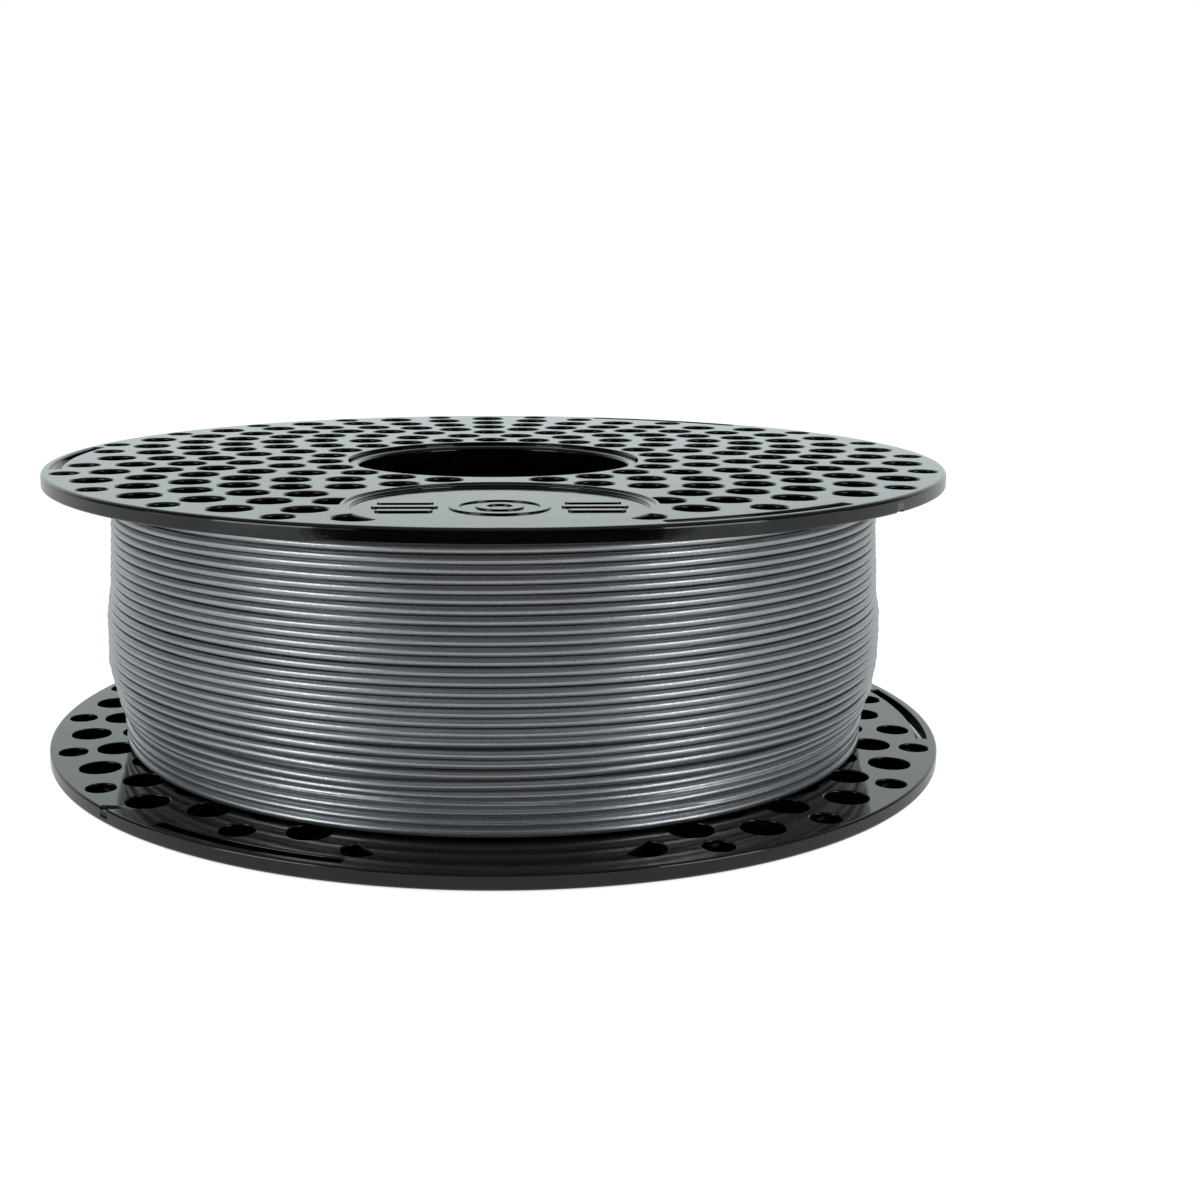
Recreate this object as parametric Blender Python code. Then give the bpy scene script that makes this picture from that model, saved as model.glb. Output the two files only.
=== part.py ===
# Filament spool: two perforated flanges, a bore sleeve, a winding drum and the wound filament.
# Metres, +Z up.  The spool lies on its lower flange: axis along Z, lower outer face at z = 0,
# the round name pad of both flanges on the -Y side.
import math

import bmesh
import bpy
from mathutils import Matrix, Vector

# ---- driving sizes -------------------------------------------------------------------------
SPOOL_R = 0.1000          # flange radius, the usual 200 mm spool
SPOOL_H = 0.0640          # over both flanges
FLANGE_T = 0.0032         # flange plate
OUTER_ROUND = 0.0008      # rounding of the rim at the outer face
INNER_ROUND = 0.0005      # rounding of the rim at the face that touches the filament
GAP = 0.0003              # clearance between neighbouring pieces
WELD = 0.00003            # corners closer than this are one corner

BORE_R = 0.0305           # free radius for the holder's spindle
SLEEVE_T = 0.0022         # wall of the bore sleeve
SLEEVE_STEP = 0.0010      # the sleeve ends this far below each outer face
SEAT_R = BORE_R + SLEEVE_T + GAP

DRUM_R = 0.0434           # the first layer of filament lies on this radius
DRUM_T = 0.0020
RIB_COUNT = 11
RIB_T = 0.0016

PAD_Y = -0.0700           # centre of the round name pad
PAD_R = 0.0280            # sunken floor of the pad
PAD_RING = 0.0300         # solid ring left around the floor
PAD_DEPTH = 0.0009

# Hole pattern: 44 half steps around, even and odd columns stand in staggered rings.
COLUMNS = 44
STEP = 2.0 * math.pi / COLUMNS
EVEN_RINGS = [(0.0383, 0.0080), (0.0561, 0.0084), (0.0688, 0.0086), (0.0800, 0.0087)]
ODD_RINGS = [(0.0476, 0.0083), (0.0630, 0.0085), (0.0744, 0.0086), (0.0857, 0.0087)]
EDGE_HOLE = (0.0913, 0.0087)        # outermost hole of an even column
EDGE_HOLE_SMALL = (0.0911, 0.0070)  # the same beside a clip slot
RIM_HOLE = (0.0951, 0.0062)         # small outermost hole of an odd column
HOLE_SIDES = 7
RIM_SIDES = 80

# Three slots near the rim in which the free end of the filament is clipped.
SLOT_ANGLES = [math.radians(29.4), math.radians(149.4), math.radians(269.4)]
SLOT_HALF = math.radians(12.4)
SLOT_IN = 0.0958
SLOT_OUT = 0.0982
SLOT_CLEAR = math.radians(14.5)     # rim holes closer than this to a slot are left out

NOTCH_ANGLE = math.radians(50.3)    # small notch in the inner edge of the rim
NOTCH_W = 0.0028
NOTCH_H = 0.0005

# Winding: turns of 1.75 mm filament, drawn here as rings with a groove between them.
STRAND = 0.00175
TURNS = 30
GROOVE = 0.00045
WIND_PROFILE = [(0.00, 0.0843), (0.07, 0.0846), (0.12, 0.0859), (0.50, 0.0865),
                (0.85, 0.0861), (1.00, 0.0856)]
ANCHOR_ANGLE = math.radians(100.0)  # the inner end of the filament enters the drum here
ANCHOR_Z = 0.0065
ANCHOR_HOLE = 0.0024

BLACK = ("spool_plastic", (0.012, 0.012, 0.013, 1.0), 0.22, 0.0)
SILVER = ("filament_silver", (0.34, 0.35, 0.37, 1.0), 0.32, 0.55)


def clear_scene():
    for obj in list(bpy.data.objects):
        bpy.data.objects.remove(obj, do_unlink=True)
    for mesh in list(bpy.data.meshes):
        bpy.data.meshes.remove(mesh)


def make_material(spec):
    name, color, rough, metal = spec
    mat = bpy.data.materials.new(name)
    mat.use_nodes = True
    shader = mat.node_tree.nodes["Principled BSDF"]
    shader.inputs["Base Color"].default_value = color
    shader.inputs["Roughness"].default_value = rough
    shader.inputs["Metallic"].default_value = metal
    mat.diffuse_color = color
    return mat


def around(radius, angle, z=0.0):
    """Point at a radius, the angle counted from the front (-Y) towards +X."""
    return Vector((radius * math.sin(angle), -radius * math.cos(angle), z))


def to_object(bm, name):
    bmesh.ops.recalc_face_normals(bm, faces=bm.faces)
    mesh = bpy.data.meshes.new(name)
    bm.to_mesh(mesh)
    bm.free()
    obj = bpy.data.objects.new(name, mesh)
    bpy.context.scene.collection.objects.link(obj)
    return obj


def ring_body(name, profile, sides):
    """Closed ring: a closed (radius, z) profile turned around the Z axis."""
    bm = bmesh.new()
    loops = []
    for i in range(sides):
        angle = 2.0 * math.pi * i / sides
        loops.append([bm.verts.new(around(r, angle, z)) for r, z in profile])
    count = len(profile)
    for i in range(sides):
        here = loops[i]
        after = loops[(i + 1) % sides]
        for j in range(count):
            k = (j + 1) % count
            bm.faces.new((here[j], here[k], after[k], after[j]))
    return to_object(bm, name)


def add_prism(bm, outline, z0, z1):
    """Prism over a closed list of (x, y) points."""
    low = [bm.verts.new((x, y, z0)) for x, y in outline]
    high = [bm.verts.new((x, y, z1)) for x, y in outline]
    bm.faces.new(low[::-1])
    bm.faces.new(high)
    count = len(outline)
    for i in range(count):
        k = (i + 1) % count
        bm.faces.new((low[i], low[k], high[k], high[i]))


def circle(x, y, radius, sides, turn=0.0):
    points = []
    for i in range(sides):
        angle = turn + 2.0 * math.pi * i / sides
        points.append((x + radius * math.cos(angle), y + radius * math.sin(angle)))
    return points


def as_cutter(obj):
    obj.hide_render = True
    obj.display_type = 'WIRE'
    return obj


def add_boolean(obj, other, operation):
    mod = obj.modifiers.new(operation.lower(), 'BOOLEAN')
    mod.operation = operation
    mod.solver = 'EXACT'
    mod.object = other


def apply_modifiers(obj):
    graph = bpy.context.evaluated_depsgraph_get()
    mesh = bpy.data.meshes.new_from_object(obj.evaluated_get(graph))
    obj.modifiers.clear()
    obj.data = mesh
    bm = bmesh.new()
    bm.from_mesh(mesh)
    bmesh.ops.triangulate(bm, faces=bm.faces)
    bmesh.ops.remove_doubles(bm, verts=bm.verts, dist=WELD)
    bmesh.ops.dissolve_degenerate(bm, edges=bm.edges, dist=WELD)
    bmesh.ops.recalc_face_normals(bm, faces=bm.faces)
    bm.to_mesh(mesh)
    bm.free()


def remove(obj):
    bpy.data.objects.remove(obj, do_unlink=True)


def finish(obj, mat):
    obj.data.materials.clear()
    obj.data.materials.append(mat)
    bpy.context.view_layer.objects.active = obj
    bpy.ops.object.select_all(action='DESELECT')
    obj.select_set(True)
    bpy.ops.object.shade_smooth()
    obj.data.set_sharp_from_angle(angle=math.radians(30.0))


def beside_slot(angle):
    """True when a rim hole at this angle would stand beside a clip slot."""
    for slot in SLOT_ANGLES:
        apart = (angle - slot + math.pi) % (2.0 * math.pi) - math.pi
        if abs(apart) < SLOT_CLEAR:
            return True
    return False


def hole_list():
    """(x, y, diameter, angle) of every hole of one flange; column 0 is the pad's own line."""
    holes = []
    for k in range(1, COLUMNS):
        angle = k * STEP
        if k % 2 == 0:
            ring = EDGE_HOLE_SMALL if beside_slot(angle) else EDGE_HOLE
            rings = EVEN_RINGS + [ring]
        else:
            rings = ODD_RINGS + ([] if beside_slot(angle) else [RIM_HOLE])
        for radius, diameter in rings:
            spot = around(radius, angle)
            if math.hypot(spot.x, spot.y - PAD_Y) > PAD_RING:
                holes.append((spot.x, spot.y, diameter, angle))
    return holes


def slot_outline(middle):
    points = []
    parts = 8
    for i in range(parts + 1):
        spot = around(SLOT_IN, middle - SLOT_HALF + 2.0 * SLOT_HALF * i / parts)
        points.append((spot.x, spot.y))
    for i in range(parts + 1):
        spot = around(SLOT_OUT, middle + SLOT_HALF - 2.0 * SLOT_HALF * i / parts)
        points.append((spot.x, spot.y))
    return points


def build_flange(name):
    """Flange with its outer face up, standing where the upper flange stands."""
    top = SPOOL_H
    low = SPOOL_H - FLANGE_T
    soft = OUTER_ROUND * (1.0 - math.cos(math.pi / 4.0))
    profile = [(SEAT_R, low), (SPOOL_R - INNER_ROUND, low), (SPOOL_R, low + INNER_ROUND),
               (SPOOL_R, top - OUTER_ROUND), (SPOOL_R - soft, top - soft),
               (SPOOL_R - OUTER_ROUND, top), (SEAT_R, top)]
    flange = ring_body(name, profile, RIM_SIDES)

    bm = bmesh.new()
    for x, y, diameter, angle in hole_list():
        turn = angle + math.pi / HOLE_SIDES
        add_prism(bm, circle(x, y, diameter / 2.0, HOLE_SIDES, turn), low - 0.001, top + 0.001)
    holes = as_cutter(to_object(bm, name + "_hole_cutter"))

    bm = bmesh.new()
    add_prism(bm, circle(0.0, PAD_Y, PAD_RING, 48), low - 0.002, top + 0.002)
    guard = as_cutter(to_object(bm, name + "_pad_guard"))
    add_boolean(holes, guard, 'DIFFERENCE')
    apply_modifiers(holes)

    bm = bmesh.new()
    for middle in SLOT_ANGLES:
        add_prism(bm, slot_outline(middle), low - 0.001, top + 0.001)
    spot = around(SPOOL_R, NOTCH_ANGLE, low)
    turn = Matrix.Translation(spot) @ Matrix.Rotation(NOTCH_ANGLE, 4, 'Z')
    size = Matrix.Diagonal((NOTCH_W, 0.0020, 2.0 * NOTCH_H, 1.0))
    bmesh.ops.create_cube(bm, size=1.0, matrix=turn @ size)
    slots = as_cutter(to_object(bm, name + "_slot_cutter"))

    bm = bmesh.new()
    add_prism(bm, circle(0.0, PAD_Y, PAD_R, 48), top - PAD_DEPTH, top + 0.001)
    floor = as_cutter(to_object(bm, name + "_pad_cutter"))

    add_boolean(flange, holes, 'DIFFERENCE')
    add_boolean(flange, slots, 'DIFFERENCE')
    add_boolean(flange, floor, 'DIFFERENCE')
    apply_modifiers(flange)
    for cutter in (holes, guard, slots, floor):
        remove(cutter)
    return flange


def build_sleeve():
    low = SLEEVE_STEP
    top = SPOOL_H - SLEEVE_STEP
    edge = 0.0009
    inner = BORE_R
    outer = BORE_R + SLEEVE_T
    soft = edge * (1.0 - math.cos(math.pi / 4.0))
    profile = [(inner, low + edge), (inner + soft, low + soft), (inner + edge, low),
               (outer, low), (outer, top),
               (inner + edge, top), (inner + soft, top - soft), (inner, top - edge)]
    return ring_body("bore_sleeve", profile, 64)


def build_drum():
    low = FLANGE_T + GAP
    top = SPOOL_H - FLANGE_T - GAP
    inner = DRUM_R - DRUM_T
    drum = ring_body("winding_drum",
                     [(inner, low), (DRUM_R, low), (DRUM_R, top), (inner, top)], 64)

    bm = bmesh.new()
    start = SEAT_R
    end = inner + 0.0008
    for i in range(RIB_COUNT):
        angle = (1 + 4 * i) * STEP
        middle = around((start + end) / 2.0, angle, SPOOL_H / 2.0)
        turn = Matrix.Translation(middle) @ Matrix.Rotation(angle, 4, 'Z')
        size = Matrix.Diagonal((RIB_T, end - start, top - low - 0.002, 1.0))
        bmesh.ops.create_cube(bm, size=1.0, matrix=turn @ size)
    ribs = as_cutter(to_object(bm, "drum_rib_tool"))

    bm = bmesh.new()
    spot = around(DRUM_R - DRUM_T / 2.0, ANCHOR_ANGLE, ANCHOR_Z)
    turn = Matrix.Translation(spot) @ Matrix.Rotation(ANCHOR_ANGLE, 4, 'Z')
    turn = turn @ Matrix.Rotation(math.pi / 2.0, 4, 'X')
    bmesh.ops.create_cone(bm, cap_ends=True, segments=12, radius1=ANCHOR_HOLE / 2.0,
                          radius2=ANCHOR_HOLE / 2.0, depth=0.006, matrix=turn)
    hole = as_cutter(to_object(bm, "drum_anchor_cutter"))

    add_boolean(drum, ribs, 'UNION')
    add_boolean(drum, hole, 'DIFFERENCE')
    apply_modifiers(drum)
    remove(ribs)
    remove(hole)
    return drum


def winding_radius(t):
    """Crest radius of the outer layer at the height share t."""
    for (t0, r0), (t1, r1) in zip(WIND_PROFILE, WIND_PROFILE[1:]):
        if t <= t1:
            return r0 + (r1 - r0) * (t - t0) / (t1 - t0)
    return WIND_PROFILE[-1][1]


def tube(name, points, radius, sides):
    """Round bar along a list of points, closed at both ends."""
    bm = bmesh.new()
    rings = []
    for i, point in enumerate(points):
        before = points[max(i - 1, 0)]
        after = points[min(i + 1, len(points) - 1)]
        along = (after - before).normalized()
        side = along.cross(Vector((0.0, 0.0, 1.0)))
        if side.length < 0.05:
            side = Vector((point.x, point.y, 0.0))
        side = side.normalized()
        up = side.cross(along).normalized()
        side = along.cross(up).normalized()
        ring = []
        for j in range(sides):
            angle = 2.0 * math.pi * j / sides
            offset = side * math.cos(angle) + up * math.sin(angle)
            ring.append(bm.verts.new(point + offset * radius))
        rings.append(ring)
    bm.faces.new(rings[0][::-1])
    bm.faces.new(rings[-1])
    for here, after in zip(rings, rings[1:]):
        for j in range(sides):
            k = (j + 1) % sides
            bm.faces.new((here[j], here[k], after[k], after[j]))
    return to_object(bm, name)


def tail_points():
    """Free end of the filament: off the winding and up into the slot at the back."""
    slot = SLOT_ANGLES[1]
    middle = (SLOT_IN + SLOT_OUT) / 2.0
    points = []
    parts = 10
    for i in range(parts + 1):
        t = i / parts
        ease = t * t * (3.0 - 2.0 * t)
        angle = slot + math.radians(-38.0 + 34.0 * t)
        radius = 0.0856 + (middle - 0.0856) * ease
        points.append(around(radius, angle, 0.0520 + 0.0045 * t * t))
    points.append(around(middle, slot - math.radians(1.8), 0.0577))
    points.append(around(middle, slot - math.radians(0.7), 0.0594))
    points.append(around(middle, slot - math.radians(0.2), 0.0612))
    points.append(around(middle, slot, 0.0634))
    return points


def build_winding():
    low = FLANGE_T + GAP
    top = SPOOL_H - FLANGE_T - GAP
    pitch = (top - low) / TURNS
    inner = DRUM_R + GAP
    profile = [(inner, low)]
    for i in range(TURNS):
        z = low + i * pitch
        crest = winding_radius((i + 0.5) / TURNS)
        valley = winding_radius(i / TURNS) - GROOVE
        profile.append((valley, z))
        profile.append((crest, z + pitch / 2.0))
    profile.append((winding_radius(1.0) - GROOVE, top))
    profile.append((inner, top))
    winding = ring_body("filament_winding", profile, 36)

    anchor = [around(DRUM_R + 0.0030, ANCHOR_ANGLE, ANCHOR_Z),
              around(DRUM_R - DRUM_T - 0.0035, ANCHOR_ANGLE, ANCHOR_Z)]
    start = tube("anchor_tool", anchor, STRAND / 2.0, 8)
    end = tube("tail_tool", tail_points(), STRAND / 2.0, 8)
    add_boolean(winding, start, 'UNION')
    add_boolean(winding, end, 'UNION')
    apply_modifiers(winding)
    remove(start)
    remove(end)
    return winding


clear_scene()
black = make_material(BLACK)
silver = make_material(SILVER)

upper = build_flange("upper_flange")
lower = build_flange("lower_flange")
# The lower flange is the same moulding turned over about the pad's own line.
flip = Matrix.Translation((0.0, 0.0, SPOOL_H)) @ Matrix.Rotation(math.pi, 4, 'Y')
lower.data.transform(flip)
sleeve = build_sleeve()
drum = build_drum()
winding = build_winding()
for piece in (upper, lower, sleeve, drum):
    finish(piece, black)
finish(winding, silver)
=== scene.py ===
"""Looks of the filament spool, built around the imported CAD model.

Metres, +Z up, the spool's axis along Z, the sunken round pad of both flanges on the -Y side.
Angles around the axis are counted from the front (-Y) towards +X, as in the CAD source.
"""

import math

import bmesh
import bpy
from mathutils import Matrix, Vector, noise
from mathutils.geometry import tessellate_polygon


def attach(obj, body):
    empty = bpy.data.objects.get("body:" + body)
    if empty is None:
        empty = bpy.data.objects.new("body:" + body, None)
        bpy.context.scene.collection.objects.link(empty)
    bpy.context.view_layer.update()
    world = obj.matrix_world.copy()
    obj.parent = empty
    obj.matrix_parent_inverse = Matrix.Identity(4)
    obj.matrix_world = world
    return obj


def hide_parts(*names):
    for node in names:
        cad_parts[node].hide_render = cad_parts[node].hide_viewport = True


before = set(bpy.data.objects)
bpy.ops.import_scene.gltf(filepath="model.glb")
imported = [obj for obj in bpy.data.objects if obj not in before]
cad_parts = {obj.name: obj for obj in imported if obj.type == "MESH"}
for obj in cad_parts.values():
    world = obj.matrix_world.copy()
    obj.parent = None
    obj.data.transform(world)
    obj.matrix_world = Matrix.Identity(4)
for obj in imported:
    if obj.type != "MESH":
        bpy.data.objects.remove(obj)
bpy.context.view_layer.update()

# ---- sizes of the spool, as the CAD source has them ------------------------------------------
SPOOL_R = 0.1000
SPOOL_H = 0.0640
FLANGE_T = 0.0032
GAP = 0.0003
BORE_R = 0.0305
SLEEVE_T = 0.0022
SLEEVE_STEP = 0.0010
SEAT_R = BORE_R + SLEEVE_T + GAP
DRUM_R = 0.0434
DRUM_T = 0.0020
RIB_COUNT = 11
RIB_T = 0.0016
PAD_Y = -0.0700
PAD_RING = 0.0300
PAD_STEPS = [(0.0291, 0.00035), (0.0279, 0.00055)]   # radius and drop of each step
EMBLEM_H = 0.00030
EMBLEM_ROUND = 0.00014
EMBLEM_SINK = 0.0002      # how far the emblem reaches into the pad's floor
EMBLEM_RINGS = [(0.0096, 0.0076), (0.0046, 0.0024)]   # outer and inner radius of each
EMBLEM_BAR_X = 0.0178
EMBLEM_BAR_STEP = 0.0050
EMBLEM_BAR_HALF = 0.0052
EMBLEM_BAR_SHORTER = 0.0009
EMBLEM_BAR_R = 0.0011
COLUMNS = 44
STEP = 2.0 * math.pi / COLUMNS
EVEN_RINGS = [(0.0383, 0.0080), (0.0561, 0.0084), (0.0688, 0.0086), (0.0800, 0.0087)]
ODD_RINGS = [(0.0476, 0.0083), (0.0630, 0.0085), (0.0744, 0.0086), (0.0857, 0.0087)]
EDGE_HOLE = (0.0913, 0.0087)
EDGE_HOLE_SMALL = (0.0911, 0.0070)
RIM_HOLE = (0.0951, 0.0062)
SLOT_ANGLES = [math.radians(29.4), math.radians(149.4), math.radians(269.4)]
SLOT_HALF = math.radians(12.4)
SLOT_IN = 0.0958
SLOT_OUT = 0.0982
SLOT_CLEAR = math.radians(14.5)
NOTCH_ANGLE = math.radians(50.3)
NOTCH_W = 0.0028
NOTCH_H = 0.0005
NOTCH_D = 0.0010
STRAND = 0.00175
ANCHOR_ANGLE = math.radians(100.0)
ANCHOR_Z = 0.0065
ANCHOR_HOLE = 0.0024

# ---- edge roundings of the mouldings, and how many steps each has -----------------------------
RIM_OUTER = 0.0008
RIM_INNER = 0.0005
HOLE_OUTER = 0.00048
HOLE_INNER = 0.00030
DISH = 0.00022            # how much deeper the plate lies at the hub than at the rim
CORNER = 0.00035          # plan rounding of the corners of clipped holes and slots
TOP_PARTS = 3
LOW_PARTS = 2
CORNER_PARTS = 4


def around(radius, angle, z=0.0):
    return Vector((radius * math.sin(angle), -radius * math.cos(angle), z))


def smooth(a, b, x):
    t = min(max((x - a) / (b - a), 0.0), 1.0)
    return t * t * (3.0 - 2.0 * t)


# ---- a mesh under construction, with an exact normal at every vertex --------------------------
class Shell:
    def __init__(self):
        self.points = []
        self.normals = []
        self.faces = []

    def row(self, points, normals):
        start = len(self.points)
        self.points += [tuple(p) for p in points]
        self.normals += [tuple(Vector(n).normalized()) for n in normals]
        return list(range(start, len(self.points)))

    def strip(self, a, b, closed=True):
        count = len(a)
        for i in range(count if closed else count - 1):
            k = (i + 1) % count
            self.faces.append((a[i], a[k], b[k], b[i]))

    def loft(self, rows, closed=True):
        for a, b in zip(rows, rows[1:]):
            self.strip(a, b, closed)

    def cap(self, loops):
        """Flat face between an outer loop and the loops of its openings."""
        flat = [i for loop in loops for i in loop]
        lines = [[Vector((self.points[i][0], self.points[i][1], 0.0)) for i in loop]
                 for loop in loops]
        for face in tessellate_polygon(lines):
            self.faces.append(tuple(flat[i] for i in face))

    def fan(self, loop, centre, normal):
        middle = self.row([centre], [normal])[0]
        for i in range(len(loop)):
            self.faces.append((loop[i], loop[(i + 1) % len(loop)], middle))

    def to_object(self, name, material):
        mesh = bpy.data.meshes.new(name)
        mesh.from_pydata(self.points, [], self.faces)
        bm = bmesh.new()
        bm.from_mesh(mesh)
        bmesh.ops.recalc_face_normals(bm, faces=bm.faces)
        bm.to_mesh(mesh)
        bm.free()
        mesh.shade_smooth()
        mesh.normals_split_custom_set_from_vertices(self.normals)
        mesh.materials.append(material)
        obj = bpy.data.objects.new(name, mesh)
        bpy.context.scene.collection.objects.link(obj)
        return obj


# ---- node helpers ----------------------------------------------------------------------------
PLASTIC_IOR = 1.5


def new_material(name, color, rough, metal=0.0):
    mat = bpy.data.materials.new(name)
    mat.use_nodes = True
    mat.diffuse_color = color
    nodes = mat.node_tree.nodes
    shader = nodes["Principled BSDF"]
    shader.inputs["Base Color"].default_value = color
    shader.inputs["Roughness"].default_value = rough
    shader.inputs["Metallic"].default_value = metal
    shader.inputs["IOR"].default_value = PLASTIC_IOR
    return mat, mat.node_tree, shader


def texture(tree, kind, coords, **settings):
    node = tree.nodes.new(kind)
    tree.links.new(coords, node.inputs["Vector"])
    for key, value in settings.items():
        if hasattr(node, key):
            setattr(node, key, value)
        else:
            node.inputs[key.replace("_", " ").title()].default_value = value
    return node


def remap(tree, source, a, b, low, high):
    node = tree.nodes.new("ShaderNodeMapRange")
    tree.links.new(source, node.inputs["Value"])
    for name, value in (("From Min", a), ("From Max", b), ("To Min", low), ("To Max", high)):
        node.inputs[name].default_value = value
    return node.outputs["Result"]


def math_node(tree, operation, a, b):
    node = tree.nodes.new("ShaderNodeMath")
    node.operation = operation
    for socket, value in zip(node.inputs, (a, b)):
        if isinstance(value, (int, float)):
            socket.default_value = value
        else:
            tree.links.new(value, socket)
    return node.outputs[0]


def mix_color(tree, factor, a, b):
    node = tree.nodes.new("ShaderNodeMix")
    node.data_type = 'RGBA'
    for socket, value in ((node.inputs[0], factor), (node.inputs[6], a), (node.inputs[7], b)):
        if isinstance(value, (int, float, tuple)):
            socket.default_value = value
        else:
            tree.links.new(value, socket)
    return node.outputs[2]


def bump(tree, height, strength, distance, before=None):
    node = tree.nodes.new("ShaderNodeBump")
    node.inputs["Strength"].default_value = strength
    node.inputs["Distance"].default_value = distance
    tree.links.new(height, node.inputs["Height"])
    if before is not None:
        tree.links.new(before, node.inputs["Normal"])
    return node.outputs["Normal"]


def stretched(tree, coords, scale, turn=0.0):
    node = tree.nodes.new("ShaderNodeMapping")
    tree.links.new(coords, node.inputs["Vector"])
    node.inputs["Scale"].default_value = scale
    node.inputs["Rotation"].default_value = (0.0, 0.0, turn)
    return node.outputs["Vector"]


# ---- materials -------------------------------------------------------------------------------
def make_black():
    """Glossy injection-moulded black plastic with faint flow marks, scuffs and dust."""
    mat, tree, shader = new_material("spool_black", (0.0026, 0.0027, 0.0029, 1.0), 0.12)
    coords = tree.nodes.new("ShaderNodeTexCoord").outputs["Object"]
    flow = texture(tree, "ShaderNodeTexNoise", coords, scale=38.0, detail=4.0, roughness=0.55)
    grain = texture(tree, "ShaderNodeTexNoise", coords, scale=2600.0, detail=2.0)
    dust = texture(tree, "ShaderNodeTexVoronoi", coords, scale=520.0)
    scuff_a = texture(tree, "ShaderNodeTexNoise", stretched(tree, coords, (9.0, 900.0, 300.0), 0.5),
                      scale=1.0, detail=2.0)
    scuff_b = texture(tree, "ShaderNodeTexNoise", stretched(tree, coords, (800.0, 12.0, 300.0), -0.3),
                      scale=1.0, detail=2.0)
    scratch = math_node(tree, 'ADD', remap(tree, scuff_a.outputs["Fac"], 0.70, 0.78, 0.0, 1.0),
                        remap(tree, scuff_b.outputs["Fac"], 0.71, 0.79, 0.0, 1.0))
    speck = remap(tree, dust.outputs["Distance"], 0.05, 0.12, 1.0, 0.0)
    rough = remap(tree, flow.outputs["Fac"], 0.30, 0.72, 0.055, 0.105)
    rough = math_node(tree, 'ADD', rough, math_node(tree, 'MULTIPLY', scratch, 0.05))
    rough = math_node(tree, 'ADD', rough, math_node(tree, 'MULTIPLY', speck, 0.12))
    tree.links.new(rough, shader.inputs["Roughness"])
    color = mix_color(tree, remap(tree, flow.outputs["Fac"], 0.3, 0.7, 0.0, 1.0),
                      (0.0020, 0.0021, 0.0023, 1.0), (0.0034, 0.0035, 0.0038, 1.0))
    color = mix_color(tree, math_node(tree, 'MULTIPLY', speck, 0.15), color, (0.06, 0.06, 0.06, 1.0))
    tree.links.new(color, shader.inputs["Base Color"])
    normal = bump(tree, flow.outputs["Fac"], 0.22, 0.0006)
    normal = bump(tree, grain.outputs["Fac"], 0.05, 0.00004, normal)
    tree.links.new(normal, shader.inputs["Normal"])
    return mat


def make_silver():
    """Silver filament: satin extruded plastic full of fine metallic flakes."""
    mat, tree, shader = new_material("filament_silver", (0.34, 0.35, 0.37, 1.0), 0.28, 0.80)
    coords = tree.nodes.new("ShaderNodeTexCoord").outputs["Object"]
    batch = texture(tree, "ShaderNodeTexNoise", coords, scale=60.0, detail=3.0)
    cloud = texture(tree, "ShaderNodeTexNoise", coords, scale=1500.0, detail=3.0, roughness=0.6)
    flakes = texture(tree, "ShaderNodeTexVoronoi", coords, scale=5200.0)
    split = tree.nodes.new("ShaderNodeSeparateColor")
    tree.links.new(flakes.outputs["Color"], split.inputs[0])
    spark = remap(tree, split.outputs[0], 0.92, 1.0, 0.0, 0.8)
    color = mix_color(tree, remap(tree, batch.outputs["Fac"], 0.3, 0.7, 0.0, 1.0),
                      (0.364, 0.377, 0.394, 1.0), (0.417, 0.430, 0.447, 1.0))
    color = mix_color(tree, remap(tree, cloud.outputs["Fac"], 0.35, 0.70, 0.0, 0.35), color,
                      (0.270, 0.278, 0.295, 1.0))
    color = mix_color(tree, spark, color, (0.56, 0.57, 0.58, 1.0))
    tree.links.new(color, shader.inputs["Base Color"])
    rough = remap(tree, cloud.outputs["Fac"], 0.3, 0.7, 0.28, 0.36)
    rough = math_node(tree, 'SUBTRACT', rough, math_node(tree, 'MULTIPLY', spark, 0.08))
    tree.links.new(rough, shader.inputs["Roughness"])
    normal = bump(tree, cloud.outputs["Fac"], 0.10, 0.00004)
    normal = bump(tree, flakes.outputs["Distance"], 0.05, 0.00002, normal)
    tree.links.new(normal, shader.inputs["Normal"])
    return mat


BLACK = make_black()
SILVER = make_silver()


# ---- outlines of the flange's openings: (x, y, nx, ny), the normal points into the material ---
def arc(cx, cy, radius, a0, a1, parts, sign):
    """Points from angle a0 to a1; sign +1 when the material lies outside the arc."""
    out = []
    for i in range(parts + 1):
        a = a0 + (a1 - a0) * i / parts
        c, s = math.cos(a), math.sin(a)
        out.append((cx + radius * c, cy + radius * s, sign * c, sign * s))
    return out


def full_circle(cx, cy, radius, sides, turn=0.0):
    return arc(cx, cy, radius, turn, turn + 2.0 * math.pi * (sides - 1) / sides, sides - 1, 1)


def sweep(a0, a1, step):
    """Number of parts for an arc."""
    return max(2, int(math.ceil(abs(a1 - a0) / step)))


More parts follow.
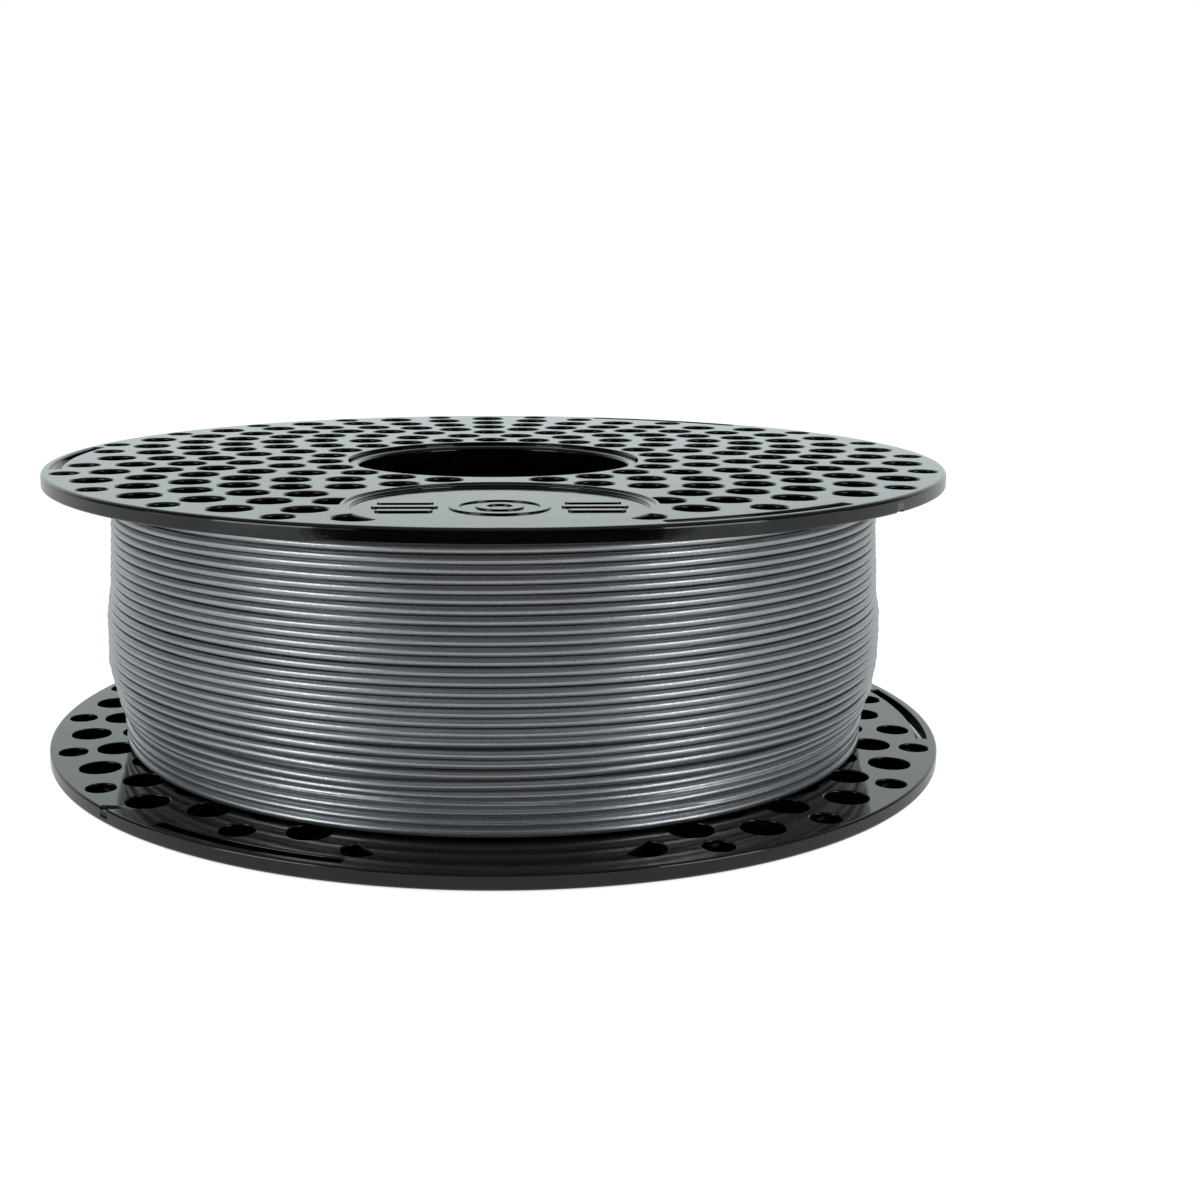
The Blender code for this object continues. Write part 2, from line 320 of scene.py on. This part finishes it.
def clipped_hole(cx, cy, radius):
    """A round hole whose part inside the pad's ring is left solid, with rounded corners."""
    px, py = 0.0, PAD_Y
    d = math.hypot(cx - px, cy - py)
    inner = radius - CORNER
    outer = PAD_RING + CORNER
    u = ((cx - px) / d, (cy - py) / d)
    v = (-u[1], u[0])
    along = (d * d + outer * outer - inner * inner) / (2.0 * d)
    across = math.sqrt(max(outer * outer - along * along, 0.0))
    ends = []
    for side in (1.0, -1.0):
        ends.append((px + u[0] * along + v[0] * across * side,
                     py + u[1] * along + v[1] * across * side))
    (qx, qy), (rx, ry) = ends
    points = []
    # around the hole, away from the pad, from the second corner to the first
    a0 = math.atan2(ry - cy, rx - cx)
    a1 = math.atan2(qy - cy, qx - cx)
    while a1 < a0:
        a1 += 2.0 * math.pi
    points += arc(cx, cy, radius, a0, a1, sweep(a0, a1, 0.21), 1)
    # first corner
    b0 = a1
    b1 = math.atan2(py - qy, px - qx)
    while b1 < b0:
        b1 += 2.0 * math.pi
    points += arc(qx, qy, CORNER, b0, b1, sweep(b0, b1, 0.6), 1)[1:]
    # along the ring, where the material lies inside the arc
    c0 = math.atan2(qy - py, qx - px)
    c1 = math.atan2(ry - py, rx - px)
    while c1 > c0:
        c1 -= 2.0 * math.pi
    points += arc(px, py, PAD_RING, c0, c1, sweep(c0, c1, 0.03), -1)[1:]
    # second corner
    e0 = math.atan2(py - ry, px - rx)
    e1 = a0
    while e1 < e0:
        e1 += 2.0 * math.pi
    points += arc(rx, ry, CORNER, e0, e1, sweep(e0, e1, 0.6), 1)[1:-1]
    return points


def slot_outline(middle):
    """Clip slot: a piece of ring with rounded corners, near the rim."""
    def polar(radius, angle, nr, nt):
        p = around(radius, angle)
        radial = around(1.0, angle)
        tangent = Vector((math.cos(angle), math.sin(angle), 0.0))
        n = radial * nr + tangent * nt
        return (p.x, p.y, n.x, n.y)

    points = []
    r = CORNER
    parts = 18
    a0, a1 = middle - SLOT_HALF, middle + SLOT_HALF
    ri, ro = SLOT_IN, SLOT_OUT
    for i in range(parts + 1):
        a = a0 + r / ri + (a1 - a0 - 2.0 * r / ri) * i / parts
        points.append(polar(ri, a, -1.0, 0.0))
    for i in range(1, CORNER_PARTS):
        t = math.pi / 2.0 * i / CORNER_PARTS
        points.append(polar(ri + r - r * math.cos(t), a1 - r / ri + r / ri * math.sin(t),
                            -math.cos(t), math.sin(t)))
    points.append(polar(ri + r, a1, 0.0, 1.0))
    points.append(polar(ro - r, a1, 0.0, 1.0))
    for i in range(1, CORNER_PARTS):
        t = math.pi / 2.0 * i / CORNER_PARTS
        points.append(polar(ro - r + r * math.sin(t), a1 - r / ro + r / ro * math.cos(t),
                            math.sin(t), math.cos(t)))
    for i in range(parts + 1):
        a = a1 - r / ro - (a1 - a0 - 2.0 * r / ro) * i / parts
        points.append(polar(ro, a, 1.0, 0.0))
    for i in range(1, CORNER_PARTS):
        t = math.pi / 2.0 * i / CORNER_PARTS
        points.append(polar(ro - r + r * math.cos(t), a0 + r / ro - r / ro * math.sin(t),
                            math.cos(t), -math.sin(t)))
    points.append(polar(ro - r, a0, 0.0, -1.0))
    points.append(polar(ri + r, a0, 0.0, -1.0))
    for i in range(1, CORNER_PARTS):
        t = math.pi / 2.0 * i / CORNER_PARTS
        points.append(polar(ri + r - r * math.sin(t), a0 + r / ri - r / ri * math.cos(t),
                            -math.sin(t), -math.cos(t)))
    return points


def beside_slot(angle):
    """True when a rim hole at this angle would stand beside a clip slot."""
    for slot in SLOT_ANGLES:
        apart = (angle - slot + math.pi) % (2.0 * math.pi) - math.pi
        if abs(apart) < SLOT_CLEAR:
            return True
    return False


def flange_openings():
    """Outlines of all holes and slots; column 0 is the pad's own line and has no holes."""
    outlines = []
    for k in range(1, COLUMNS):
        angle = k * STEP
        if k % 2 == 0:
            rings = EVEN_RINGS + [EDGE_HOLE_SMALL if beside_slot(angle) else EDGE_HOLE]
        else:
            rings = ODD_RINGS + ([] if beside_slot(angle) else [RIM_HOLE])
        for radius, diameter in rings:
            spot = around(radius, angle)
            apart = math.hypot(spot.x, spot.y - PAD_Y)
            if apart <= PAD_RING:
                continue
            if apart < PAD_RING + diameter / 2.0:
                outlines.append(clipped_hole(spot.x, spot.y, diameter / 2.0))
            else:
                outlines.append(full_circle(spot.x, spot.y, diameter / 2.0, 30, angle))
    for middle in SLOT_ANGLES:
        outlines.append(slot_outline(middle))
    return outlines


def quarter(parts):
    """Steps of a rounding: (share of growth left, share of depth, flat part, wall part)."""
    out = []
    for i in range(parts + 1):
        t = math.pi / 2.0 * i / parts
        out.append((1.0 - math.sin(t), 1.0 - math.cos(t), math.cos(t), math.sin(t)))
    return out


def cut_through(shell, outline, top, low, r_top, r_low):
    """Wall of one opening with both edges rounded; gives its top and bottom loops."""
    rows = []
    for grow, depth, flat, wall in quarter(TOP_PARTS):
        points = [(x + nx * grow * r_top, y + ny * grow * r_top, top - depth * r_top)
                  for x, y, nx, ny in outline]
        normals = [(-nx * wall, -ny * wall, flat) for x, y, nx, ny in outline]
        rows.append(shell.row(points, normals))
    for grow, depth, flat, wall in reversed(quarter(LOW_PARTS)):
        points = [(x + nx * grow * r_low, y + ny * grow * r_low, low + depth * r_low)
                  for x, y, nx, ny in outline]
        normals = [(-nx * wall, -ny * wall, -flat) for x, y, nx, ny in outline]
        rows.append(shell.row(points, normals))
    shell.loft(rows)
    return rows[0], rows[-1]


def rim_angles():
    """Angles of the rim's columns, closer together at the small notch."""
    base = [2.0 * math.pi * i / 300 for i in range(300)]
    half = NOTCH_W / 2.0 / SPOOL_R
    edge = 0.00012 / SPOOL_R
    extra = [NOTCH_ANGLE + s * (half + e) for s in (-1, 1) for e in (-edge, edge)]
    base = [a for a in base if all(abs(a - b) > 0.004 for b in extra)]
    return sorted(base + extra)


def stadium(cx, cy, half_length, radius):
    """Bar with round ends; the normals point away from it."""
    right = arc(cx + half_length, cy, radius, -math.pi / 2.0, math.pi / 2.0, 10, 1)
    left = arc(cx - half_length, cy, radius, math.pi / 2.0, 1.5 * math.pi, 10, 1)
    return right + left


def add_relief(shell, floor, loops):
    """Raised flat shape with rounded upper edges; the first loop is its outside."""
    tops, feet = [], []
    for outline in loops:
        rows = []
        steps = [(0.0, floor - EMBLEM_SINK, 0.0, 1.0)]
        for grow, depth, flat, wall in reversed(quarter(TOP_PARTS)):
            steps.append((grow * EMBLEM_ROUND, floor + EMBLEM_H - EMBLEM_ROUND * depth, flat, wall))
        for inset, z, flat, wall in steps:
            rows.append(shell.row([(x - nx * inset, y - ny * inset, z)
                                   for x, y, nx, ny in outline],
                                  [(nx * wall, ny * wall, flat) for x, y, nx, ny in outline]))
        shell.loft(rows)
        tops.append(rows[-1])
        feet.append(rows[0])
    shell.cap(tops)
    shell.cap(feet)


def add_emblem(shell, floor):
    """Plain pictogram in the pad: a wound reel, with strands running off to both sides."""
    for outer, inner in EMBLEM_RINGS:
        hole = [(x, y, -nx, -ny) for x, y, nx, ny in full_circle(0.0, PAD_Y, inner, 48)]
        add_relief(shell, floor, [full_circle(0.0, PAD_Y, outer, 64), hole])
    for side in (-1.0, 1.0):
        for row in (-1.0, 0.0, 1.0):
            half = EMBLEM_BAR_HALF - EMBLEM_BAR_SHORTER * abs(row)
            bar = stadium(side * EMBLEM_BAR_X, PAD_Y + row * EMBLEM_BAR_STEP, half, EMBLEM_BAR_R)
            add_relief(shell, floor, [bar])


def dish(radius):
    """The flange plate lies slightly deeper towards the hub."""
    return DISH * (1.0 - smooth(SEAT_R - 0.020, SPOOL_R - 0.004, radius))


def build_flange(name, flipped):
    top = SPOOL_H
    low = SPOOL_H - FLANGE_T
    shell = Shell()
    top_holes, low_holes = [], []
    for outline in flange_openings():
        a, b = cut_through(shell, outline, top, low, HOLE_OUTER, HOLE_INNER)
        top_holes.append(a)
        low_holes.append(b)
    seat = full_circle(0.0, 0.0, SEAT_R, 120)
    a, b = cut_through(shell, seat, top, low, 0.00025, 0.00025)
    top_holes.append(a)
    low_holes.append(b)

    # sunken pad: a narrow step, then the flat floor, every edge rounded
    rows = []
    depth_at = 0.0
    for radius, drop in PAD_STEPS:
        half = drop / 2.0
        pad = full_circle(0.0, PAD_Y, radius, 144)
        for grow, depth, flat, wall in quarter(4):
            points = [(x + nx * grow * half, y + ny * grow * half, top - depth_at - depth * half)
                      for x, y, nx, ny in pad]
            normals = [(-nx * wall, -ny * wall, flat) for x, y, nx, ny in pad]
            rows.append(shell.row(points, normals))
        depth_at += drop
        for grow, depth, flat, wall in list(reversed(quarter(4)))[1:]:
            points = [(x - nx * grow * half, y - ny * grow * half, top - depth_at + depth * half)
                      for x, y, nx, ny in pad]
            normals = [(-nx * wall, -ny * wall, flat) for x, y, nx, ny in pad]
            rows.append(shell.row(points, normals))
    shell.loft(rows)
    shell.cap([rows[-1]])
    top_holes.append(rows[0])

    add_emblem(shell, top - depth_at)

    # rim
    angles = rim_angles()
    inside = [abs(a - NOTCH_ANGLE) < NOTCH_W / 2.0 / SPOOL_R for a in angles]
    rows = []
    for grow, depth, flat, wall in quarter(6):
        r = SPOOL_R - grow * RIM_OUTER
        rows.append(shell.row([around(r, a, top - depth * RIM_OUTER) for a in angles],
                              [around(wall, a, flat) for a in angles]))
    steps = list(reversed(quarter(4)))
    for i, (grow, depth, flat, wall) in enumerate(steps):
        points, normals = [], []
        for a, notch in zip(angles, inside):
            if notch:
                t = i / (len(steps) - 1)
                r = SPOOL_R - NOTCH_D * min(t * 2.0, 1.0)
                z = low + NOTCH_H * min(2.0 - t * 2.0, 1.0)
                points.append(around(r, a, z))
                normals.append(around(min(t * 2.0, 1.0), a, -1.0 + t))
            else:
                points.append(around(SPOOL_R - grow * RIM_INNER, a, low + depth * RIM_INNER))
                normals.append(around(wall, a, -flat))
        rows.append(shell.row(points, normals))
    shell.loft(rows)
    shell.cap([rows[0]] + top_holes)
    shell.cap([rows[-1]] + low_holes)

    shell.points = [(x, y, z - dish(math.hypot(x, y))) for x, y, z in shell.points]
    if flipped:
        shell.points = [(-x, y, SPOOL_H - z) for x, y, z in shell.points]
        shell.normals = [(-x, y, -z) for x, y, z in shell.normals]
    return shell.to_object(name, BLACK)


def lathe(name, profile, sides, material):
    """Closed ring from (radius, z, normal r, normal z) rows."""
    shell = Shell()
    rows = []
    for r, z, nr, nz in profile:
        angles = [2.0 * math.pi * i / sides for i in range(sides)]
        rows.append(shell.row([around(r, a, z) for a in angles],
                              [around(nr, a, nz) for a in angles]))
    shell.loft(rows + [rows[0]])
    return shell.to_object(name, material)


def build_sleeve():
    low, top = SLEEVE_STEP, SPOOL_H - SLEEVE_STEP
    inner, outer = BORE_R, BORE_R + SLEEVE_T
    profile = []
    for r, cx, cz, start in ((0.0009, inner + 0.0009, low + 0.0009, math.pi),
                             (0.0003, outer - 0.0003, low + 0.0003, 1.5 * math.pi),
                             (0.0003, outer - 0.0003, top - 0.0003, 0.0),
                             (0.0009, inner + 0.0009, top - 0.0009, 0.5 * math.pi)):
        for i in range(7):
            t = start + math.pi / 2.0 * i / 6
            c, s = math.cos(t), math.sin(t)
            profile.append((cx + r * c, cz + r * s, c, s))
    return lathe("bore_sleeve_ring", profile, 120, BLACK)


def build_drum():
    """Winding drum with its radial ribs, drawn as one outline and raised."""
    low = FLANGE_T + GAP
    top = SPOOL_H - FLANGE_T - GAP
    inner = DRUM_R - DRUM_T
    half = RIB_T / 2.0
    inside = []
    for i in range(RIB_COUNT):
        middle = (1 + 4 * i) * STEP
        radial = around(1.0, middle)
        side = Vector((math.cos(middle), math.sin(middle), 0.0))
        foot = half / inner
        r = 0.0004
        inside.append((inner, middle - foot - 0.008, None))
        for s in (-1.0, 1.0):
            corner = [radial * (SEAT_R + 0.001) + side * s * half,
                      radial * (SEAT_R + r * 0.3) + side * s * (half - r * 0.3),
                      radial * SEAT_R + side * s * (half - r)]
            root = radial * (inner * math.cos(foot) - 0.0006) + side * s * half
            chain = [root] + corner
            if s > 0:
                chain.reverse()
            for p in chain:
                inside.append((None, None, p))
        inside.append((inner, middle + foot + 0.008, None))
        gap = 4 * STEP - 2.0 * (foot + 0.008)
        for j in range(1, 10):
            inside.append((inner, middle + foot + 0.008 + gap * j / 10, None))
    loop = []
    for r, a, p in inside:
        q = around(r, a) if p is None else p
        loop.append((q.x, q.y))
    outer = [(p.x, p.y) for p in (around(DRUM_R, 2.0 * math.pi * i / 120) for i in range(120))]
    bm = bmesh.new()
    rings = []
    for z in (low, top):
        rings.append([[bm.verts.new((x, y, z)) for x, y in line] for line in (outer, loop)])
    for line in (0, 1):
        a, b = rings[0][line], rings[1][line]
        for i in range(len(a)):
            k = (i + 1) % len(a)
            bm.faces.new((a[i], a[k], b[k], b[i]))
    for ring in rings:
        flat = ring[0] + ring[1]
        lines = [[Vector((v.co.x, v.co.y, 0.0)) for v in line] for line in ring]
        for face in tessellate_polygon(lines):
            bm.faces.new([flat[i] for i in face])
    bmesh.ops.recalc_face_normals(bm, faces=bm.faces)
    mesh = bpy.data.meshes.new("winding_drum_ribbed")
    bm.to_mesh(mesh)
    bm.free()
    drum = bpy.data.objects.new("winding_drum_ribbed", mesh)
    bpy.context.scene.collection.objects.link(drum)

    bm = bmesh.new()
    spot = around(DRUM_R - DRUM_T / 2.0, ANCHOR_ANGLE, ANCHOR_Z)
    turn = Matrix.Translation(spot) @ Matrix.Rotation(ANCHOR_ANGLE, 4, 'Z')
    turn = turn @ Matrix.Rotation(math.pi / 2.0, 4, 'X')
    bmesh.ops.create_cone(bm, cap_ends=True, segments=24, radius1=ANCHOR_HOLE / 2.0,
                          radius2=ANCHOR_HOLE / 2.0, depth=0.006, matrix=turn)
    cutter_mesh = bpy.data.meshes.new("anchor_cutter")
    bm.to_mesh(cutter_mesh)
    bm.free()
    cutter = bpy.data.objects.new("anchor_cutter", cutter_mesh)
    bpy.context.scene.collection.objects.link(cutter)
    cut = drum.modifiers.new("anchor", 'BOOLEAN')
    cut.operation = 'DIFFERENCE'
    cut.solver = 'EXACT'
    cut.object = cutter
    graph = bpy.context.evaluated_depsgraph_get()
    cut_mesh = bpy.data.meshes.new_from_object(drum.evaluated_get(graph))
    drum.modifiers.clear()
    drum.data = cut_mesh
    bpy.data.objects.remove(cutter, do_unlink=True)
    cut_mesh.shade_smooth()
    cut_mesh.set_sharp_from_angle(angle=math.radians(28.0))
    cut_mesh.materials.clear()
    cut_mesh.materials.append(BLACK)
    return drum


# ---- winding -----------------------------------------------------------------------------------
WIND_LOW = FLANGE_T + GAP
WIND_TOP = SPOOL_H - FLANGE_T - GAP
PITCH = 0.00185
LOWEST_Z = 0.00639        # height of the lowest turn's centre
LOOSE_PITCH = 0.00211     # the lowest turns lie a little apart
SLIPPED = {2: 0.0018, 3: 0.0016}   # except these two, which lie this close to the turn below
LOOSE_CRESTS = [0.0833, 0.0837, 0.0834, 0.0842, 0.0851, 0.0855, 0.0862, 0.0864, 0.0868]
LOOSE_TURNS = len(LOOSE_CRESTS) - 1
# Share of the turns, and the crest radius there, for the turns above the loose ones.
CRESTS = [(0.0, 0.0842), (0.27, 0.0868), (0.45, 0.0869), (0.60, 0.0861), (0.80, 0.0857),
          (0.93, 0.0856), (1.0, 0.0850)]
TURN_PARTS = 176          # straight pieces in one turn
STRAND_SIDES = 12
LAYER = 0.00158           # radial step from one inner layer to the next
CORE_R = 0.0835           # the inner layers end at about this radius
CORE_PITCH = 0.00182
NEST = 0.0007             # every second inner layer lies this much farther in
TAIL_ANGLE = SLOT_ANGLES[1] - math.radians(38.0)
TAIL_R = 0.0856
TAIL_Z = 0.0520


def swing(x, y, seed):
    """Slow random swing between about -1 and 1."""
    return 2.0 * noise.noise(Vector((x, y, seed)))


def stepped(pairs, t):
    """Value at t between (place, value) pairs."""
    for (t0, v0), (t1, v1) in zip(pairs, pairs[1:]):
        if t <= t1:
            return v0 + (v1 - v0) * smooth(t0, t1, t)
    return pairs[-1][1]


def turn_height(turns):
    """Height of the strand's centre above the lowest turn."""
    height = 0.0
    for i in range(1, LOOSE_TURNS + 1):
        height += SLIPPED.get(i, LOOSE_PITCH) * min(max(turns - i + 1, 0.0), 1.0)
    return height + PITCH * max(turns - LOOSE_TURNS, 0.0)


def turns_at(height):
    """Number of turns up to this height above the lowest turn, beyond the loose ones."""
    return LOOSE_TURNS + (height - turn_height(LOOSE_TURNS)) / PITCH


def strand_centre(turns, total):
    """Centre of the strand after this many turns from the lower flange, and its angle."""
    angle = 2.0 * math.pi * turns
    c, s = math.cos(angle), math.sin(angle)
    if turns < LOOSE_TURNS:
        crest = stepped(list(enumerate(LOOSE_CRESTS)), turns)
        loose = math.sin(math.pi * turns / LOOSE_TURNS)
    else:
        crest = stepped(CRESTS, turns / total)
        loose = 0.0
    sway_in = 0.00009 + 0.00020 * loose
    sway_up = 0.00008 + 0.00022 * loose
    radius = crest - STRAND / 2.0 + sway_in * swing(2.2 * c, 2.2 * s, turns * 0.9)
    z = LOWEST_Z + turn_height(turns) + sway_up * swing(1.7 * c + 9.0, 1.7 * s, turns * 0.8)
    return angle, radius, z


def tail_route():
    """Free end: off the winding and up into the slot at the back."""
    slot = SLOT_ANGLES[1]
    middle = (SLOT_IN + SLOT_OUT) / 2.0
    points = []
    parts = 24
    for i in range(parts + 1):
        t = i / parts
        radius = TAIL_R + (middle - TAIL_R) * smooth(0.0, 1.0, t)
        angle = TAIL_ANGLE + math.radians(34.0) * t
        points.append(around(radius, angle, TAIL_Z + 0.0045 * t * t))
    # degrees before the slot's middle, and height
    for back, z in ((1.8, 0.0577), (0.7, 0.0594), (0.2, 0.0612), (0.0, 0.0622), (0.0, 0.0634)):
        points.append(around(middle, slot - math.radians(back), z))
    return points


def tube(shell, points, radius, sides):
    """Round bar along points, closed at both ends."""
    rows = []
    last = None
    count = len(points)
    for i, p in enumerate(points):
        along = (points[min(i + 1, count - 1)] - points[max(i - 1, 0)]).normalized()
        if last is None:
            last = Vector((p.x, p.y, 0.0)).normalized()
        side = (last - along * last.dot(along)).normalized()
        last = side
        up = along.cross(side)
        normals = []
        for j in range(sides):
            a = 2.0 * math.pi * j / sides
            normals.append(side * math.cos(a) + up * math.sin(a))
        rows.append(shell.row([p + n * radius for n in normals], normals))
    shell.loft(rows)
    for row, along in ((rows[0], points[0] - points[1]), (rows[-1], points[-1] - points[-2])):
        along = along.normalized()
        rim = shell.row([Vector(shell.points[i]) for i in row], [along] * len(row))
        shell.fan(rim, sum((Vector(shell.points[i]) for i in row), Vector()) / len(row), along)
        shell.strip(row, rim)


def strand_path(first, last, total):
    """Points of the outer strand from one number of turns to another."""
    path = []
    count = int((last - first) * TURN_PARTS)
    for i in range(count + 1):
        turns = first + (last - first) * i / count
        path.append((turns, *strand_centre(turns, total)))
    return path


def build_strand():
    """Outer turns: up to the free end, on to the upper flange, and the inner end's stub."""
    shell = Shell()
    total = turns_at(WIND_TOP - STRAND / 2.0 - LOWEST_Z)
    free = math.floor(turns_at(TAIL_Z - LOWEST_Z)) + TAIL_ANGLE / (2.0 * math.pi)

    path = []
    for turns, angle, radius, z in strand_path(0.0, free, total):
        radius -= 0.0030 * (1.0 - smooth(0.0, 0.09, turns))
        path.append(around(radius, angle, z))
    leave = tail_route()
    start = path[-1]
    for i, p in enumerate(leave[1:]):
        ease = 1.0 - smooth(0.0, 1.0, (i + 1) / 10.0)
        path.append(p + (start - leave[0]) * ease)
    tube(shell, path, STRAND / 2.0, STRAND_SIDES)

    path = []
    first = free + 0.012
    for turns, angle, radius, z in strand_path(first, total, total):
        radius -= 0.0019 * (1.0 - smooth(0.0, 0.10, turns - first))
        radius -= 0.0030 * smooth(total - 0.09, total, turns)
        path.append(around(radius, angle, z))
    tube(shell, path, STRAND / 2.0, STRAND_SIDES)

    stub = [around(DRUM_R + 0.0030 - 0.0095 * i / 6.0, ANCHOR_ANGLE, ANCHOR_Z) for i in range(7)]
    tube(shell, stub, STRAND / 2.0, 16)
    return shell.to_object("filament_outer_layer", SILVER)


def bead(r, z, start, end, parts):
    """Visible arc of one strand of the inner layers, between two angles in degrees."""
    rows = []
    for i in range(parts + 1):
        t = math.radians(start) + (math.radians(end) - math.radians(start)) * i / parts
        c, s = math.cos(t), math.sin(t)
        rows.append((r + STRAND / 2.0 * c, z + STRAND / 2.0 * s, c, s))
    return rows


def build_core():
    """Inner layers as one ring, beaded below, on its outside and above."""
    layers = int((CORE_R - DRUM_R - GAP) / LAYER)
    radii = [DRUM_R + GAP + STRAND / 2.0 + LAYER * k for k in range(layers)]
    nests = [NEST * (k % 2) for k in range(layers)]
    low, top = WIND_LOW + STRAND / 2.0, WIND_TOP - STRAND / 2.0
    profile = []
    for r, nest in zip(radii, nests):
        profile += bead(r, low + nest, 205.0, 335.0, 5)
    rows = int((top - low) / CORE_PITCH)
    for k in range(rows + 1):
        profile += bead(radii[-1], low + (top - low) * k / rows, -62.0, 62.0, 4)
    for r, nest in reversed(list(zip(radii, nests))):
        profile += bead(r, top - nest, 25.0, 155.0, 5)
    return lathe("filament_inner_layers", profile, 120, SILVER)


upper = build_flange("upper_flange_plate", False)
lower = build_flange("lower_flange_plate", True)
sleeve = build_sleeve()
drum = build_drum()
core = build_core()
strand = build_strand()
for piece, node, finish in ((upper, "upper_flange", "spool_plastic"),
                            (lower, "lower_flange", "spool_plastic"),
                            (sleeve, "bore_sleeve", "spool_plastic"),
                            (drum, "winding_drum", "spool_plastic"),
                            (strand, "filament_winding", "filament_silver"),
                            (core, "filament_winding", "filament_silver")):
    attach(piece, "root")
    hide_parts(node)


# ---- studio ------------------------------------------------------------------------------------
FLOOR_GLOW = 0.60         # the part of the floor's brightness that lights the spool
RED_SHARE = 0.90          # red in the surround's light, against green and blue
PANEL_H = 0.17
PANEL_AWAY = 0.45
PANEL_COLOR = (0.94, 0.98, 1.0)
PANELS = [(-56.0, 0.75, 0.45), (-50.0, 3.9, 0.19), (56.0, 0.45, 0.45),
          (46.0, 4.0, 0.19)]   # heading in degrees, radiance, width


def make_floor():
    """White to the camera, dimmer to the spool, and with a painted shadow under it (no glow and a
    near-black colour there), so that its holes stay dark.
    """
    mat, tree, shader = new_material("floor_white", (0.20, 0.20, 0.20, 1.0), 0.7)
    coords = tree.nodes.new("ShaderNodeTexCoord").outputs["Object"]
    cloud = texture(tree, "ShaderNodeTexNoise", coords, scale=3.0, detail=2.0)
    color = mix_color(tree, cloud.outputs["Fac"], (0.19, 0.19, 0.19, 1.0), (0.21, 0.21, 0.21, 1.0))
    shader.inputs["Specular IOR Level"].default_value = 0.2
    away = tree.nodes.new("ShaderNodeVectorMath")
    away.operation = 'LENGTH'
    tree.links.new(coords, away.inputs[0])
    # lit is 0 under the spool and 1 outside it: the mask of the painted shadow beneath the spool
    lit = remap(tree, away.outputs["Value"], SPOOL_R - 0.0025, SPOOL_R - 0.0003, 0.0, 1.0)
    glow = mix_color(tree, lit, (0.0, 0.0, 0.0, 1.0), (1.0, 1.0, 1.0, 1.0))
    tree.links.new(glow, shader.inputs["Emission Color"])
    # painted shadow: near-black floor colour under the spool instead of the floor's white
    color = mix_color(tree, lit, (0.02, 0.02, 0.02, 1.0), color)
    tree.links.new(color, shader.inputs["Base Color"])
    seen = tree.nodes.new("ShaderNodeLightPath").outputs["Is Camera Ray"]
    tree.links.new(remap(tree, seen, 0.0, 1.0, FLOOR_GLOW, 1.0), shader.inputs["Emission Strength"])
    mesh = bpy.data.meshes.new("floor")
    bm = bmesh.new()
    corners = [bm.verts.new(p) for p in ((-4.0, -0.36, -0.0002), (4.0, -0.36, -0.0002),
                                         (4.0, 5.0, -0.0002), (-4.0, 5.0, -0.0002))]
    bm.faces.new(corners)
    bm.to_mesh(mesh)
    bm.free()
    mesh.materials.append(mat)
    floor = bpy.data.objects.new("floor", mesh)
    bpy.context.scene.collection.objects.link(floor)


def make_panel(heading, radiance, width):
    """Soft upright panel light facing the axis, which the camera does not see directly."""
    name = "panel_%+d_%.1f" % (heading, radiance)
    data = bpy.data.lights.new(name, 'AREA')
    data.shape = 'RECTANGLE'
    data.size = width
    data.size_y = PANEL_H
    data.color = PANEL_COLOR
    data.energy = radiance * math.pi * width * PANEL_H
    obj = bpy.data.objects.new(name, data)
    place = around(PANEL_AWAY, math.radians(heading), PANEL_H / 2.0 + 0.01)
    obj.location = place
    facing = Vector((0.0, 0.0, place.z)) - place
    obj.rotation_euler = facing.to_track_quat('-Z', 'Y').to_euler()
    obj.visible_camera = False
    bpy.context.scene.collection.objects.link(obj)


def make_world():
    """White surround behind and above, dark in front around the camera."""
    world = bpy.data.worlds.new("studio")
    world.use_nodes = True
    bpy.context.scene.world = world
    tree = world.node_tree
    back = tree.nodes["Background"]
    coords = tree.nodes.new("ShaderNodeTexCoord").outputs["Generated"]
    split = tree.nodes.new("ShaderNodeSeparateXYZ")
    tree.links.new(coords, split.inputs[0])
    behind = remap(tree, split.outputs["Y"], 0.35, 0.80, 0.0, 1.0)
    side = remap(tree, split.outputs["Y"], -0.30, 0.10, 0.003, 0.12)
    above = remap(tree, split.outputs["Z"], 0.45, 0.80, 0.0, 0.30)
    value = math_node(tree, 'MAXIMUM', math_node(tree, 'MAXIMUM', behind, side), above)
    seen = tree.nodes.new("ShaderNodeLightPath").outputs["Is Camera Ray"]
    value = math_node(tree, 'MAXIMUM', value, seen)
    color = tree.nodes.new("ShaderNodeCombineColor")
    tree.links.new(math_node(tree, 'MAXIMUM', math_node(tree, 'MULTIPLY', value, RED_SHARE), seen),
                   color.inputs[0])
    tree.links.new(value, color.inputs[1])
    tree.links.new(value, color.inputs[2])
    tree.links.new(color.outputs[0], back.inputs["Color"])
    back.inputs["Strength"].default_value = 1.0


make_floor()
make_world()
for settings in PANELS:
    make_panel(*settings)

camera_data = bpy.data.cameras.new("camera")
camera_data.sensor_width = 36.0
camera_data.lens = 49.59
camera_data.shift_x = 0.0890
camera_data.shift_y = -0.1061
camera_data.clip_start = 0.01
camera_data.clip_end = 50.0
camera_data.dof.use_dof = False
camera = bpy.data.objects.new("camera", camera_data)
camera.location = (-0.00655, -0.37513, 0.10935)
camera.rotation_euler = (math.radians(90.0 - 7.43), 0.0, math.radians(-1.0))
bpy.context.scene.collection.objects.link(camera)
bpy.context.scene.camera = camera
bpy.context.scene.view_settings.view_transform = 'Standard'
